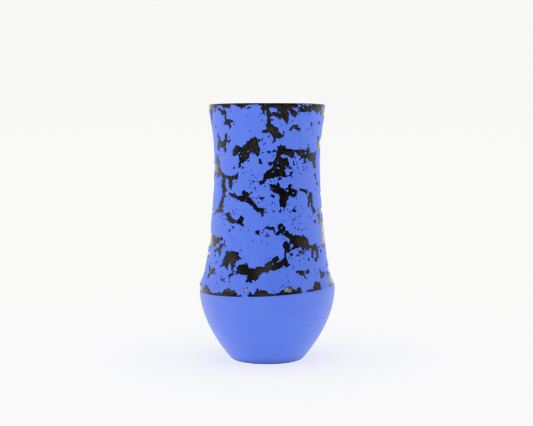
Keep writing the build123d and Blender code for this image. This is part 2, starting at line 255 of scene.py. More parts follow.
def outer_rings(node):
    """Heights and radii, in mm, of the rings of points on a CAD coat's outer face, from the bottom up."""
    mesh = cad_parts[node].data
    place = vertex_values(mesh, "co") / MM
    facing = vertex_values(mesh, "normal")
    radius = np.hypot(place[:, 0], place[:, 1])
    outward = (facing[:, 0] * place[:, 0] + facing[:, 1] * place[:, 1]) / radius > FACES_OUT
    rings = {round(z, 1): (z, r) for z, r in zip(place[outward, 2], radius[outward], strict=True)}
    return np.array([rings[z] for z in sorted(rings)])


def box_radius(node):
    """Half the width, in mm, of a CAD node's box."""
    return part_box(node)[1].x / MM


CRUST_T = box_radius("blue_crust") - box_radius("dark_glaze")
SLIP_INSET = box_radius("blue_crust") - box_radius("belly_slip")
COAT_T = box_radius("blue_crust") - box_radius("bowl_section")
VASE_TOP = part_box("liner_glaze")[1].z / MM

crust_rings = outer_rings("blue_crust")
LIP_Z, LIP_OUTER_R = max(crust_rings[crust_rings[:, 0] > VASE_TOP / 2], key=lambda ring: ring[1])
LIP_CURVE_R = VASE_TOP - LIP_Z + CRUST_T
LIP_CENTRE_R = LIP_OUTER_R - LIP_CURVE_R


def outside_outline():
    """Heights and radii of the whole outside, at the crust's face, from the foot to the lip's centre."""
    slip_rings = outer_rings("belly_slip")
    belly = slip_rings[slip_rings[:, 0] < crust_rings[0, 0] - BELLY_END_GAP].copy()
    steep = np.gradient(belly[:, 1], belly[:, 0])
    slant = np.sqrt(1 + steep**2)
    belly[:, 1] += SLIP_INSET / slant
    belly[:, 0] -= SLIP_INSET * steep / slant
    neck = crust_rings[crust_rings[:, 0] <= LIP_Z]
    return np.vstack([belly, neck])


OUTLINE = outside_outline()
OUTLINE_SLOPE = np.gradient(OUTLINE[:, 1], OUTLINE[:, 0])


def outline_radius(height):
    """The outside's radius at a height and its slope, on a smooth curve through the outline's rings."""
    z, r = OUTLINE[:, 0], OUTLINE[:, 1]
    i = np.clip(np.searchsorted(z, height) - 1, 0, len(z) - 2)
    step = z[i + 1] - z[i]
    t = (height - z[i]) / step
    start, end = OUTLINE_SLOPE[i] * step, OUTLINE_SLOPE[i + 1] * step
    rise = r[i + 1] - r[i]
    bend_a, bend_b = start - rise, rise - end
    radius = r[i] + t * rise + t * (1 - t) * ((1 - t) * bend_a + t * bend_b)
    slope = rise + (1 - 2 * t) * ((1 - t) * bend_a + t * bend_b) + t * (1 - t) * (bend_b - bend_a)
    return radius, slope / step


def on_outside(turn, height, inset):
    """Points, in mm, at a turn and height on the outside, each moved into the wall by inset."""
    turn, height, inset = np.broadcast_arrays(turn, height, inset)
    radius, slope = outline_radius(np.minimum(height, LIP_Z))
    slant = np.sqrt(1 + slope**2)
    r = radius - inset / slant
    z = height + inset * slope / slant
    lip = height > LIP_Z
    angle = (height - LIP_Z) / LIP_CURVE_R
    r = np.where(lip, LIP_CENTRE_R + (LIP_CURVE_R - inset) * np.cos(angle), r)
    z = np.where(lip, LIP_Z + (LIP_CURVE_R - inset) * np.sin(angle), z)
    around = np.radians(turn)
    return np.stack([r * np.sin(around), -r * np.cos(around), z], axis=-1)


# ---- Meshes ----

BACK_STEP = 6  # a coat's back has one row of points for this many of its face's


def placed(name, data):
    """A new object in the scene."""
    piece = bpy.data.objects.new(name, data)
    bpy.context.scene.collection.objects.link(piece)
    return piece


def smooth_mesh(name, points, faces, gap, closed):
    """A smooth-shaded mesh. Points within gap of each other become one. A closed one's faces turn outward."""
    mesh = bpy.data.meshes.new(name)
    mesh.from_pydata(points, [], faces)
    clean = bmesh.new()
    clean.from_mesh(mesh)
    bmesh.ops.remove_doubles(clean, verts=clean.verts, dist=gap)
    if closed:
        bmesh.ops.recalc_face_normals(clean, faces=clean.faces)
    clean.to_mesh(mesh)
    clean.free()
    mesh.polygons.foreach_set("use_smooth", [True] * len(mesh.polygons))
    return mesh


def ride_mesh(name, points, faces):
    """A closed piece from points in mm. It rides on the vase's one body."""
    piece = placed(name, smooth_mesh(name, (points * MM).tolist(), faces, 1e-7, closed=True))
    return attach(piece, "root")


def coat(name, turns, heights, inset):
    """A closed coat all round: its face is the outside moved inward by inset, and its back lies on clay."""
    face = on_outside(turns[None, :], heights, inset)
    back = on_outside(turns[None, :], heights[::-BACK_STEP], COAT_T)
    section = np.concatenate([face, back])
    here = np.arange(section[..., 0].size).reshape(section.shape[:2])
    right = np.roll(here, -1, axis=1)
    above = np.roll(here, -1, axis=0)
    faces = np.stack([here, right, np.roll(above, -1, axis=1), above], axis=-1)
    return ride_mesh(name, section.reshape(-1, 3), faces.reshape(-1, 4).tolist())


# ---- Random fields on the unrolled outside ----

CELL = 0.45  # spacing of the unrolled outside's grid
MEAN_R = 45.0  # the unrolled outside is as wide as a circle of this radius is long
COAT_LINE_Z = 56.9  # at the front; the belly's slip ends here
COAT_LINE_TILT = 0.053  # how much the coat line climbs from left to right
CRUST_LOW = 50.0  # the grid's lowest height, below the coat line all round
CRUST_HIGH = LIP_Z + 2.4  # and its highest, on the lip's curve
COLUMNS = round(math.tau * MEAN_R / CELL)
ROWS = round((CRUST_HIGH - CRUST_LOW) / CELL)
GRID_TURNS = np.linspace(-180.0, 180.0, COLUMNS + 1)
GRID_HEIGHTS = np.linspace(CRUST_LOW, CRUST_HIGH, ROWS + 1)
CELL_UP = (CRUST_HIGH - CRUST_LOW) / ROWS  # the grid's exact spacing upward
SMOOTHNESS = -1.6  # power at which a random field's finer features fade


def random_field(seed, size):
    """A smooth random field of unit strength on the grid, with features of size mm. It joins at the back."""
    white = np.random.default_rng(seed).standard_normal((ROWS + 1, COLUMNS))
    upward = np.fft.fftfreq(ROWS + 1, CELL)[:, None]
    around = np.fft.rfftfreq(COLUMNS, CELL)[None, :]
    waves = np.hypot(upward, around) * size
    strength = (1 + waves**2) ** SMOOTHNESS
    field = np.fft.irfft2(np.fft.rfft2(white) * strength, s=white.shape)
    field /= field.std()
    return np.hstack([field, field[:, :1]])


def coat_line(turn):
    """Height of the line where the belly's slip meets the neck's coats."""
    return COAT_LINE_Z + COAT_LINE_TILT * outline_radius(COAT_LINE_Z)[0] * np.sin(np.radians(turn))


# ---- Blue crust: a coat with real holes ----

REACH = 3.0  # how far from a tear the field still measures its distance
EDGE_W = 0.55  # the crust thins over this width towards a tear's edge
EDGE_T = 0.5  # and is this share of its full thickness at the very edge
TEAR_GROWTH = 0.35  # added to every stroke's half width
BACK_TEARS = 100  # branching tears round the sides and back
MOST_TRIES = 4000  # at finding room for them
SIDE_TURNS, SIDE_HEIGHTS = (84, 276), (62, 197)  # where they may start
TOP_TEAR = 198.5  # no point of theirs lies higher
MM_PER_DEGREE = 0.78  # round the neck, on average
LIP_TURNS = (90, 268)  # where tears along the lip may start
BAND_TURNS = (95, 255)  # where dark bands may start round the sides and back
BAND_END = 262  # and where the last of them ends
BANDS_BELOW = 75  # all dark bands along the coat line lie below this height
WANDER = 1.5  # room for the random shift of a stroke's edges
LIP_EDGE = 1.2  # the crust ends this far above the lip's centre
LIP_EDGE_WAVE = 0.4  # give or take this much
LINE_OVERLAP = 0.25  # the crust reaches this far below the coat line
EDGE_NOISE = 0.16  # fine raggedness of every edge
PINHOLES = 750  # in all, with those in clusters
SPOT_REACH = 1.4  # how far beyond a pinhole or scrap the field is changed
SHORTEST_CUT = 0.1  # an edge keeps this share of a cell away from the grid's points
JITTER = 0.18  # of the points between edges, as a share of their spacing
SEAM_STEP = 3.0  # cells between points on the seam at the back


def wandering_tears():
    """Branching tears for the sides and back, in the style of the front's."""
    rng = np.random.default_rng(11)
    strokes, starts = [], []
    tries = 0
    while len(starts) < BACK_TEARS and tries < MOST_TRIES:
        tries += 1
        turn = rng.uniform(*SIDE_TURNS)
        height = rng.uniform(*SIDE_HEIGHTS)
        nearest = min([math.hypot((turn - t) * MM_PER_DEGREE, height - h) for t, h in starts], default=99)
        if nearest < rng.uniform(8, 15):
            continue
        starts.append((turn, height))
        big = rng.uniform() < 0.5
        for _ in range(rng.integers(1, 4) if big else 1):
            heading = rng.uniform(0, math.tau)
            half = rng.uniform(1.6, 3.6) if big else rng.uniform(0.6, 1.5)
            at = (turn, height)
            stroke = [(*at, half)]
            for _ in range(rng.integers(2, 5) if big else rng.integers(1, 3)):
                heading += rng.normal(0, 0.7)
                step = rng.uniform(2.5, 6.5) if big else rng.uniform(1.0, 4.0)
                up = min(at[1] + step * math.sin(heading), TOP_TEAR)
                at = (at[0] + step * math.cos(heading) / MM_PER_DEGREE, up)
                half = max(half * rng.uniform(0.45, 1.05), 0.4)
                stroke.append((*at, half))
            strokes.append(stroke)
    return strokes


def lip_strokes():
    """Tears along the lip, all round the sides and back."""
    rng = np.random.default_rng(5)
    strokes = []
    turn, last = LIP_TURNS
    while turn < last:
        length = rng.uniform(6, 26)
        gaps = max(1, int(length / 5) - 1)
        ends = [turn + length * i / gaps for i in range(gaps + 1)]
        strokes.append([(at, LIP_Z - rng.uniform(0, 1.5), rng.uniform(0.8, 2.0)) for at in ends])
        turn += length + rng.uniform(1, 9)
    return strokes


def back_bands():
    """Dark bands along the coat line, round the sides and back."""
    rng = np.random.default_rng(8)
    bands = []
    turn, last = BAND_TURNS
    while turn < last:
        length = rng.uniform(14, 45)
        turns = np.arange(turn, min(turn + length, BAND_END), 2.5)
        rise = np.abs(np.cumsum(rng.normal(0, 0.9, len(turns)))) % 5
        bands.append([(at, float(coat_line(at)) + 0.6 + up) for at, up in zip(turns, rise, strict=True)])
        turn += length + rng.uniform(2, 12)
    return bands


def edge_shift(seed):
    """How far, in mm, the strokes' edges are moved at each grid point."""
    return 0.45 * random_field(seed, 5.0) + 0.25 * random_field(seed + 1, 1.6)


def crust_field():
    """How far inside the crust each grid point is, in mm. Below zero the coat is torn."""
    turns, heights = np.meshgrid(GRID_TURNS, GRID_HEIGHTS)
    radius = outline_radius(np.minimum(GRID_HEIGHTS, LIP_Z))[0][:, None]
    per_degree = np.radians(radius)
    at_turn = turns + edge_shift(1) / per_degree
    at_height = heights + edge_shift(3)
    field = np.full(turns.shape, REACH)

    def stroke_part(a, b):
        """Lowers the field around one straight part of a stroke."""
        span = max(a[2], b[2]) + REACH + WANDER
        reach_turn = span / per_degree.min()
        rows = slice(*np.searchsorted(GRID_HEIGHTS, (min(a[1], b[1]) - span, max(a[1], b[1]) + span)))
        low, high = min(a[0], b[0]) - reach_turn, max(a[0], b[0]) + reach_turn
        for lap in (-360.0, 0.0, 360.0):
            columns = slice(*np.searchsorted(GRID_TURNS, (low + lap, high + lap)))
            if columns.start == columns.stop:
                continue
            scale = per_degree[rows]
            u = (at_turn[rows, columns] - a[0] - lap) * scale
            v = at_height[rows, columns] - a[1]
            du, dv = (b[0] - a[0]) * scale, b[1] - a[1]
            along = np.clip((u * du + v * dv) / np.maximum(du**2 + dv**2, 1e-9), 0, 1)
            away = np.hypot(u - along * du, v - along * dv) - (a[2] + (b[2] - a[2]) * along) - TEAR_GROWTH
            field[rows, columns] = np.minimum(field[rows, columns], away)

    strokes = LIP_TEARS + NECK_TEARS + SHOULDER_TEARS + [[spot] for spot in SMALL_TEARS]
    for stroke in strokes + wandering_tears() + lip_strokes():
        for a, b in zip(stroke, stroke[1:] or stroke, strict=False):
            stroke_part(a, b)
    low = GRID_HEIGHTS < BANDS_BELOW
    for band in LINE_BANDS + back_bands():
        ends, tops = np.array(band).T
        for lap in (-360.0, 0.0):
            over = at_height[low] - np.interp(at_turn[low], ends + lap, tops)
            before = (ends[0] + lap - at_turn[low]) * per_degree[low]
            after = (at_turn[low] - ends[-1] - lap) * per_degree[low]
            field[low] = np.minimum(field[low], np.maximum(over, np.maximum(before, after)))

    # The coat ends raggedly on the lip and at the coat line.
    lip_end = LIP_Z + LIP_EDGE + LIP_EDGE_WAVE * random_field(6, 6.0)
    field = np.minimum(field, lip_end - heights)
    field = np.minimum(field, heights - coat_line(turns) + LINE_OVERLAP)

    field += EDGE_NOISE * random_field(7, 1.3)
    rng = np.random.default_rng(21)
    scraps, dots = list(BLUE_SCRAPS), []
    for turn, height, reach, count in PINHOLE_CLUSTERS:
        for _ in range(count):
            dots.append((rng.normal(turn, reach / 2), rng.normal(height, reach / 2), rng.uniform(0.26, 0.58)))
    while len(dots) < PINHOLES:
        turn, height = rng.uniform(-180, 180), rng.uniform(58, 197)
        row = int((height - CRUST_LOW) / CELL)
        column = int((turn + 180) / 360 * COLUMNS)
        near = field[row, column]
        # Pinholes crowd round the tears, and scraps of blue lie inside them.
        if near < -0.9 and rng.uniform() < 0.1:
            scraps.append((turn, height, rng.uniform(0.25, 0.6)))
        if 0.5 < near and rng.uniform() < 0.08 + 0.9 * math.exp(-near / 1.1):
            dots.append((turn, height, rng.uniform(0.26, 0.5) if near > 2.5 else rng.uniform(0.28, 0.65)))

    def spots(places, sign):
        """Cuts dots out of the field, with sign 1, or adds scraps to it, with sign -1."""
        for turn, height, half in places:
            span = half + SPOT_REACH
            rows = slice(*np.searchsorted(GRID_HEIGHTS, (height - span, height + span)))
            reach = span / per_degree.min()
            columns = slice(*np.searchsorted(GRID_TURNS, (turn - reach, turn + reach)))
            u = (turns[rows, columns] - turn) * per_degree[rows]
            v = heights[rows, columns] - height
            away = sign * (np.hypot(u, v) - half)
            part = field[rows, columns]
            field[rows, columns] = np.minimum(part, away) if sign > 0 else np.maximum(part, away)

    spots(dots, 1)
    spots(scraps, -1)
    field[[0, -1]] = -1.0
    field[:, -1] = field[:, 0]
    return field


def contour(field, level):
    """Points (column, row) where the field crosses a level, and the pairs of them that are joined."""
    above = field > level
    points, index = [], {}

    def crossing(p, q):
        """The number of the point where the side between two grid points is crossed. A new one is added."""
        if (p, q) not in index:
            a, b = field[p] - level, field[q] - level
            t = min(max(a / (a - b), SHORTEST_CUT), 1 - SHORTEST_CUT)
            index[p, q] = len(points)
            points.append((p[1] + t * (q[1] - p[1]), p[0] + t * (q[0] - p[0])))
        return index[p, q]

    mixed = above[:-1, :-1].astype(int) + above[:-1, 1:] + above[1:, :-1] + above[1:, 1:]
    pairs = []
    for row, column in zip(*np.nonzero((mixed > 0) & (mixed < 4)), strict=True):
        corner = [(row, column), (row, column + 1), (row + 1, column + 1), (row + 1, column)]
        sides = []
        for i in range(4):
            p, q = sorted((corner[i], corner[(i + 1) % 4]))
            if above[p] != above[q]:
                sides.append(crossing(p, q))
        if len(sides) == 2:
            pairs.append((sides[0], sides[1]))
        elif above[corner[0]] == (field[row : row + 2, column : column + 2].mean() > level):
            pairs += [(sides[0], sides[1]), (sides[2], sides[3])]
        else:
            pairs += [(sides[0], sides[3]), (sides[1], sides[2])]
    return np.array(points), pairs


def sample(field, points):
    """The field at points (column, row), read between grid points."""
    column = np.clip(points[:, 0], 0, COLUMNS - 1e-6)
    row = np.clip(points[:, 1], 0, ROWS - 1e-6)
    i, j = row.astype(int), column.astype(int)
    s, t = row - i, column - j
    low = field[i, j] * (1 - t) + field[i, j + 1] * t
    high = field[i + 1, j] * (1 - t) + field[i + 1, j + 1] * t
    return low * (1 - s) + high * s


def inner_points(spacing, seed):
    """Jittered points (column, row) over the grid, spacing mm apart, off its left and right borders."""
    rng = np.random.default_rng(seed)
    step = spacing / CELL
    columns = np.arange(step, COLUMNS - step / 2, step)
    rows = np.arange(step, ROWS - step / 2, step * math.sqrt(3) / 2)
    grid = np.array([(c + (k % 2) * step / 2, r) for k, r in enumerate(rows) for c in columns])
    grid += rng.uniform(-JITTER, JITTER, grid.shape) * step
    return grid[(grid[:, 0] > 0.6) & (grid[:, 0] < COLUMNS - 0.6)]


def crust_layer(field, spacing, seed, rim):
    """Triangles over the crust: points (column, row), triangles, and each point's share of full thickness.

    The points are the tears' edges first, then, if rim is asked for, the line where the crust reaches full
    thickness, then points between them.
    """
    edge, pairs = contour(field, 0.0)
    groups = [edge]
    if rim:
        shoulder, shoulder_pairs = contour(field, EDGE_W)
        pairs = pairs + [(a + len(edge), b + len(edge)) for a, b in shoulder_pairs]
        groups.append(shoulder)
    spread = inner_points(spacing, seed)
    groups.append(spread[sample(field, spread) > (EDGE_W + 0.35 if rim else 0.8)])
    # The seam at the back: the same rows on both sides, with the contours' own crossings between them.
    seam_rows = np.arange(0.0, ROWS + 0.5, SEAM_STEP)
    seam_rows = seam_rows[sample(field, np.stack([np.zeros_like(seam_rows), seam_rows], 1)) > EDGE_W + 0.3]
    for side in (0, COLUMNS):
        groups.append(np.stack([np.full(len(seam_rows), side), seam_rows], 1))
    points = np.vstack(groups)
    share = np.ones(len(points))
    share[: len(edge)] = EDGE_T
    for side in (0, COLUMNS):
        on_side = np.nonzero(np.abs(points[:, 0] - side) < 1e-9)[0]
        on_side = on_side[np.argsort(points[on_side, 1])]
        middles = (points[on_side[:-1]] + points[on_side[1:]]) / 2
        inside = sample(field, middles) > 0
        pairs = pairs + [(a, b) for a, b, keep in zip(on_side, on_side[1:], inside, strict=False) if keep]
    corners = np.array([(0, 0), (COLUMNS, 0), (COLUMNS, ROWS), (0, ROWS)])
    everything = np.vstack([points, corners])
    made, _, faces, origin, _, _ = delaunay_2d_cdt(
        [(float(x), float(y)) for x, y in everything], [(int(a), int(b)) for a, b in pairs], [], 0, 1e-7
    )
    source = np.array([o[0] if o else -1 for o in origin])
    made = np.array([tuple(p) for p in made])
    triangles = np.array([f for f in faces if len(f) == 3])
    known = np.append(share, [0.0] * 4)
    value = np.where(source >= 0, known[source], EDGE_T)
    middle = made[triangles].mean(axis=1)
    is_edge = (source < len(edge)) | (source < 0)
    is_corner = source >= len(points)
    all_edge = is_edge[triangles].all(axis=1)
    keep = np.where(all_edge, sample(field, middle) > 0, ~is_corner[triangles].any(axis=1))
    return made, triangles[keep], value


def place(points, inset):
    """Points (column, row) of the grid, in mm, on the outside."""
    return on_outside(points[:, 0] / COLUMNS * 360 - 180, CRUST_LOW + points[:, 1] * CELL_UP, inset)


def blue_crust(field):
    """The blue coat, torn into patches: a closed sheet with rounded edges that stands on the dark glaze."""
    relief = random_field(31, 4.0)
    top, top_faces, share = crust_layer(field, 1.5, 41, rim=True)
    wave = np.where(share > 0.99, 0.035 * sample(relief, top), 0.0)
    upper = place(top, CRUST_T * (1 - share) + 0.03 - wave)
    base, base_faces, _ = crust_layer(field, 5.0, 42, rim=False)
    lower = place(base, CRUST_T + 0.12)
    # The wall joins the two layers along every tear's edge.
    directed = np.concatenate([top_faces[:, [0, 1]], top_faces[:, [1, 2]], top_faces[:, [2, 0]]])
    seen = {tuple(e) for e in directed.tolist()}
    matching = {(round(x, 5), round(y, 5)): len(top) + i for i, (x, y) in enumerate(base)}
    wall = []
    for a, b in seen:
        upright = abs(top[a, 0] - top[b, 0]) < 1e-6
        on_seam = upright and (top[a, 0] < 1e-6 or top[a, 0] > COLUMNS - 1e-6)
        if (b, a) in seen or on_seam:
            continue
        low_a, low_b = (matching.get((round(x, 5), round(y, 5))) for x, y in top[[a, b]])
        if low_a and low_b:
            wall.append((a, low_a, low_b, b))
    faces = top_faces.tolist() + (base_faces[:, ::-1] + len(top)).tolist() + wall
    piece = ride_mesh("blue_crust_torn", np.vstack([upper, lower]), faces)
    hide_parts("blue_crust")
    return piece


# ---- The other pieces ----

GLAZE_TURNS, GLAZE_ROWS = 480, 176
GLAZE_OVERLAP = 0.3  # the dark glaze reaches this far below the coat line
PAINTED_LIGHT_W = 1.6  # width of the painted reflection's fade and of the painted shadow below a tear's top
SLIP_TURNS, SLIP_ROWS = 384, 170
SLIP_LOW = 0.5  # height at which the belly's slip starts, above the foot
SLIP_RIDGES = ((5.3, 0.03), (2.1, 0.012), (1.25, 0.008))  # pitch and depth of the ridges
RING_PITCH, RING_DEPTH = 7.5, 0.16  # of the throwing rings inside


def dark_glaze(field):
    """The glossy coat under the crust and over the lip: it pools and sags a little.

    Its attribute "open" goes from 0 under the crust and along a tear's edges to 1 well inside the tear, and
    starts lower down below the tear's upper edge, as painted shadow of the crust's edge. The glaze is painted
    paler where it is 1, as painted reflection of the lit room.
    """
    turns = np.linspace(-180, 180, GLAZE_TURNS, endpoint=False)
    line = coat_line(turns)[None, :] - GLAZE_OVERLAP
    top = LIP_Z + LIP_CURVE_R * math.pi / 2
    rise = np.linspace(0, 1, GLAZE_ROWS)[:, None]
    heights = line + (top - line) * rise
    columns = (turns + 180) / 360 * COLUMNS
    rows = np.clip((heights - CRUST_LOW) / CELL_UP, 0, ROWS)
    points = np.stack([np.broadcast_to(columns, heights.shape), rows], axis=-1).reshape(-1, 2)
    flow = sample(random_field(51, 7.0), points).reshape(heights.shape)
    fine = sample(random_field(52, 2.2), points).reshape(heights.shape)
    calm = np.clip((LIP_Z + 1.0 - heights) / 3.0, 0.15, 1.0)
    skin = CRUST_T + 0.04 - calm * (0.045 * flow + 0.022 * fine)
    # Painted shadow: the field is also read a little higher, so the glaze stays dark just below a tear's
    # upper edge.
    shadow_probe = np.clip(points + (0, PAINTED_LIGHT_W / CELL_UP), 0, (COLUMNS, ROWS))
    depth = np.minimum(-sample(field, points), -sample(field, shadow_probe))
    piece = coat("dark_glaze_coat", turns, heights, skin)
    # The attribute carries painted light: paler glaze deep in a tear, painted shadow near its edges.
    painted_lit_attr = piece.data.attributes.new("open", "FLOAT", "POINT")
    values = np.zeros(len(piece.data.vertices))
    values[: len(depth)] = np.clip(depth / PAINTED_LIGHT_W, 0, 1)
    painted_lit_attr.data.foreach_set("value", values)
    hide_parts("dark_glaze")
    return piece


def belly_slip():
    """The smooth coat on the belly, with the fine ridges of turning. It stops just above the floor."""
    turns = np.linspace(-180, 180, SLIP_TURNS, endpoint=False)
    rng = np.random.default_rng(61)
    line = coat_line(turns)[None, :]
    rise = np.linspace(0, 1, SLIP_ROWS)[:, None]
    heights = SLIP_LOW + (line - SLIP_LOW) * rise
    ridges = np.zeros_like(heights)
    for pitch, depth in SLIP_RIDGES:
        wander = rng.uniform(0, math.tau)
        spiral = np.radians(turns)[None, :]
        wave = math.tau * heights / pitch + spiral + wander + 0.6 * np.sin(heights / 9 + wander)
        ridges += depth * np.sin(wave)
    fade = np.clip((line - heights) / 1.5, 0, 1) * np.clip((heights - SLIP_LOW) / 2.0, 0, 1)
    piece = coat("belly_slip_coat", turns, heights, SLIP_INSET - ridges * fade)
    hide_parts("belly_slip")
    return piece


def liner_glaze():
    """The glaze inside, over the rings that the potter's fingers left."""
    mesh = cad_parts["liner_glaze"].data.copy()
    points = vertex_values(mesh, "co")
    facing = vertex_values(mesh, "normal")
    height = points[:, 2] / MM
    around = np.arctan2(points[:, 1], points[:, 0])
    radius = np.hypot(points[:, 0], points[:, 1]) / MM
    shown = (facing[:, 0] * points[:, 0] + facing[:, 1] * points[:, 1] < 0) | (facing[:, 2] > 0.5)
    run = height + np.clip(30 - radius, 0, 30)
    # The rings fade out below the lip and towards the middle of the floor.
    below_lip = np.clip((LIP_Z - 4 - height) / 10, 0, 1)
    rings = RING_DEPTH * np.sin(math.tau * run / RING_PITCH + around) * shown * below_lip
    points += facing * (rings * np.clip(radius / 12, 0, 1) * MM)[:, None]
    mesh.vertices.foreach_set("co", points.ravel())
    piece = placed("liner_glaze_coat", mesh)
    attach(piece, "root")
    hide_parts("liner_glaze")
    return piece


# ---- Materials ----


def set_inputs(node, **values):
    """Gives a node's inputs their values. An input's name has _ for each space."""
    for name, value in values.items():
        node.inputs[name.replace("_", " ")].default_value = value
    return node


class Nodes:
    """A material's node tree, with short calls for the nodes used here. Sizes are in mm of the object."""

    def __init__(self, name, roughness, specular=0.5, **shader):
        self.material = bpy.data.materials.new(name)
        self.material.use_nodes = True
        self.tree = self.material.node_tree
        self.shader = self.tree.nodes["Principled BSDF"]
        set_inputs(self.shader, Roughness=roughness, Specular_IOR_Level=specular, **shader)
        self.place = self.new("TexCoord").outputs["Object"]

    def new(self, kind, **values):
        return set_inputs(self.tree.nodes.new("ShaderNode" + kind), **values)

    def link(self, source, target):
        self.tree.links.new(source, target)

    def noise(self, size, detail=3.0, roughness=0.55, stretch=(1, 1, 1)):
        """Noise with features of about size mm."""
        mapping = self.new("Mapping", Scale=[1 / (size * MM * s) for s in stretch])
        self.link(self.place, mapping.inputs["Vector"])
        noise = self.new("TexNoise", Scale=1.0, Detail=detail, Roughness=roughness)
        self.link(mapping.outputs["Vector"], noise.inputs["Vector"])
        return noise.outputs["Fac"]

    def ramp(self, value, *stops):
        """Colours or greys against a value: stops are (position, colour)."""
        ramp = self.new("ValToRGB")
        while len(ramp.color_ramp.elements) < len(stops):
            ramp.color_ramp.elements.new(0.5)
        for element, (position, colour) in zip(ramp.color_ramp.elements, stops, strict=True):
            element.position = position
            element.color = (*colour, 1)
        self.link(value, ramp.inputs["Fac"])
        return ramp.outputs["Color"]

    def mix(self, amount, a, b):
        """Colour a, or b where amount is 1. Each is a socket or a colour."""
        mix = self.new("Mix")
        mix.data_type = "RGBA"
        self.link(amount, mix.inputs["Factor"])
        for socket, value in ((mix.inputs[6], a), (mix.inputs[7], b)):
            if isinstance(value, tuple):
                socket.default_value = (*value, 1)
            else:
                self.link(value, socket)
        return mix.outputs[2]

    def along(self, axis, start, end, first, last):
        """A value that goes from first to last between two places, in metres, along an axis of the object."""
        axes = self.new("SeparateXYZ")
        self.link(self.place, axes.inputs["Vector"])
        part = self.new("MapRange", From_Min=start, From_Max=end, To_Min=first, To_Max=last)
        self.link(axes.outputs[axis], part.inputs["Value"])
        return part.outputs["Result"]

    def bump(self, *layers):
        """Bump from layers of (height socket, depth in mm)."""
        target = self.shader.inputs["Normal"]
        for height, depth in reversed(layers):
            bump = self.new("Bump", Strength=1.0, Distance=depth * MM)
            self.link(height, bump.inputs["Height"])
            self.link(bump.outputs["Normal"], target)
            target = bump.inputs["Normal"]

    def greys(self, value, start, first, end, last):
        """A grey that goes from first to last while a value goes from start to end."""
        return self.ramp(value, (start, (first,) * 3), (end, (last,) * 3))

    def colour(self, socket):
        self.link(socket, self.shader.inputs["Base Color"])

    def rough(self, socket):
        self.link(socket, self.shader.inputs["Roughness"])


def srgb(red, green, blue):
    """A colour given as display values from 0 to 255, in Blender's linear values."""
    return tuple(((c / 255 + 0.055) / 1.055) ** 2.4 for c in (red, green, blue))


def crust_material():
    """Dry blue coat: grainy, mottled, with faint darker pin marks."""
    m = Nodes("blue_crust_matt", 0.6, 0.5, Sheen_Weight=0.15, Sheen_Roughness=0.5)
    cloud = m.noise(14, 3.0)
    grain = m.noise(0.9, 4.0, 0.7)
    marks = m.noise(1.5, 2.0, 0.5)
    blue = m.ramp(cloud, (0.3, srgb(69, 98, 193)), (0.7, srgb(75, 105, 201)))
    light = m.ramp(grain, (0.3, srgb(59, 84, 178)), (0.5, srgb(73, 102, 197)), (0.75, srgb(97, 124, 213)))
    soft = m.greys(grain, 0.35, 0.35, 0.65, 0.6)
    base = m.mix(soft, blue, light)
    pins = m.greys(marks, 0.24, 0.55, 0.31, 0.0)
    m.colour(m.mix(pins, base, srgb(50, 66, 130)))
    m.rough(m.greys(grain, 0.3, 0.55, 0.7, 0.7))
    m.bump((m.noise(3.5, 3.0), 0.10), (grain, 0.06))
    return m.material


def slip_material():
    """Smooth satin blue slip, with the faint lines of turning."""
    m = Nodes("blue_slip_satin", 0.5, 0.5, Sheen_Weight=0.15, Sheen_Roughness=0.5)
    wide = m.noise(22, 2.0, stretch=(1, 1, 0.6))
    lines = m.noise(30, 4.0, 0.6, stretch=(1, 1, 0.035))
    fine = m.noise(0.7, 3.0)
    blue = m.ramp(wide, (0.3, srgb(71, 101, 194)), (0.7, srgb(76, 106, 200)))
    streak = m.ramp(lines, (0.35, srgb(70, 99, 192)), (0.65, srgb(79, 109, 202)))
    some = m.greys(fine, 0.3, 0.3, 0.7, 0.45)
    # Painted shade: the slip turns a darker blue over its lowest 55 mm.
    lower = m.mix(m.along("Z", 0.0, 0.055, 0.8, 0.0), m.mix(some, blue, streak), srgb(62, 94, 184))
    # Painted contact shadow: a still darker blue in the last few mm above the floor.
    m.colour(m.mix(m.along("Z", 0.001, 0.005, 0.8, 0.0), lower, srgb(42, 70, 152)))
    m.rough(m.greys(lines, 0.3, 0.46, 0.7, 0.56))
    m.bump((lines, 0.025), (fine, 0.015))
    return m.material


def glaze_material(name, dark, brown, painted_lit_colour=None):
    """Glossy dark glaze, mottled with brown, faintly dimpled.

    Given a third colour, patches take it, or rust red, where "open" is 1: painted reflection deep in the
    tears. Then it is painted paler toward the shoulder, as painted reflection of the overhead light.
    """
    m = Nodes(name, 0.2, 0.27)
    clouds = m.noise(6.0, 4.0, 0.6)
    specks = m.noise(0.6, 2.0)
    base = m.ramp(clouds, (0.42, dark), (0.56, brown), (0.7, dark))
    if painted_lit_colour:
        # Painted reflection: deep inside the tears the glaze takes the paler colour; it stays dark as painted
        # shadow at their edges.
        painted_lit_attr = m.new("Attribute")
        painted_lit_attr.attribute_name = "open"
        patches = m.greys(m.noise(9.0, 3.0, 0.6), 0.43, 0, 0.55, 1)
        painted_lit_mask = m.mix(patches, (0, 0, 0), painted_lit_attr.outputs["Color"])
        # Rust red in some patches, the painted reflection colour in the rest.
        lit_and_rust = m.mix(m.greys(m.noise(24, 2.0), 0.52, 0, 0.64, 1), painted_lit_colour, srgb(44, 33, 30))
        # Painted reflection of the overhead light: paler grey towards the shoulder, below 160 mm.
        base = m.mix(m.along("Z", 0.06, 0.16, 0.4, 0.0), m.mix(painted_lit_mask, base, lit_and_rust), srgb(60, 57, 53))
    m.colour(m.mix(m.greys(specks, 0.62, 0, 0.72, 0.25), base, srgb(56, 52, 44)))
    m.rough(m.greys(m.noise(1.6, 3.0), 0.3, 0.08, 0.7, 0.22))
    m.bump((m.noise(2.4, 2.0), 0.12), (m.noise(0.7, 2.0), 0.05))
    return m.material


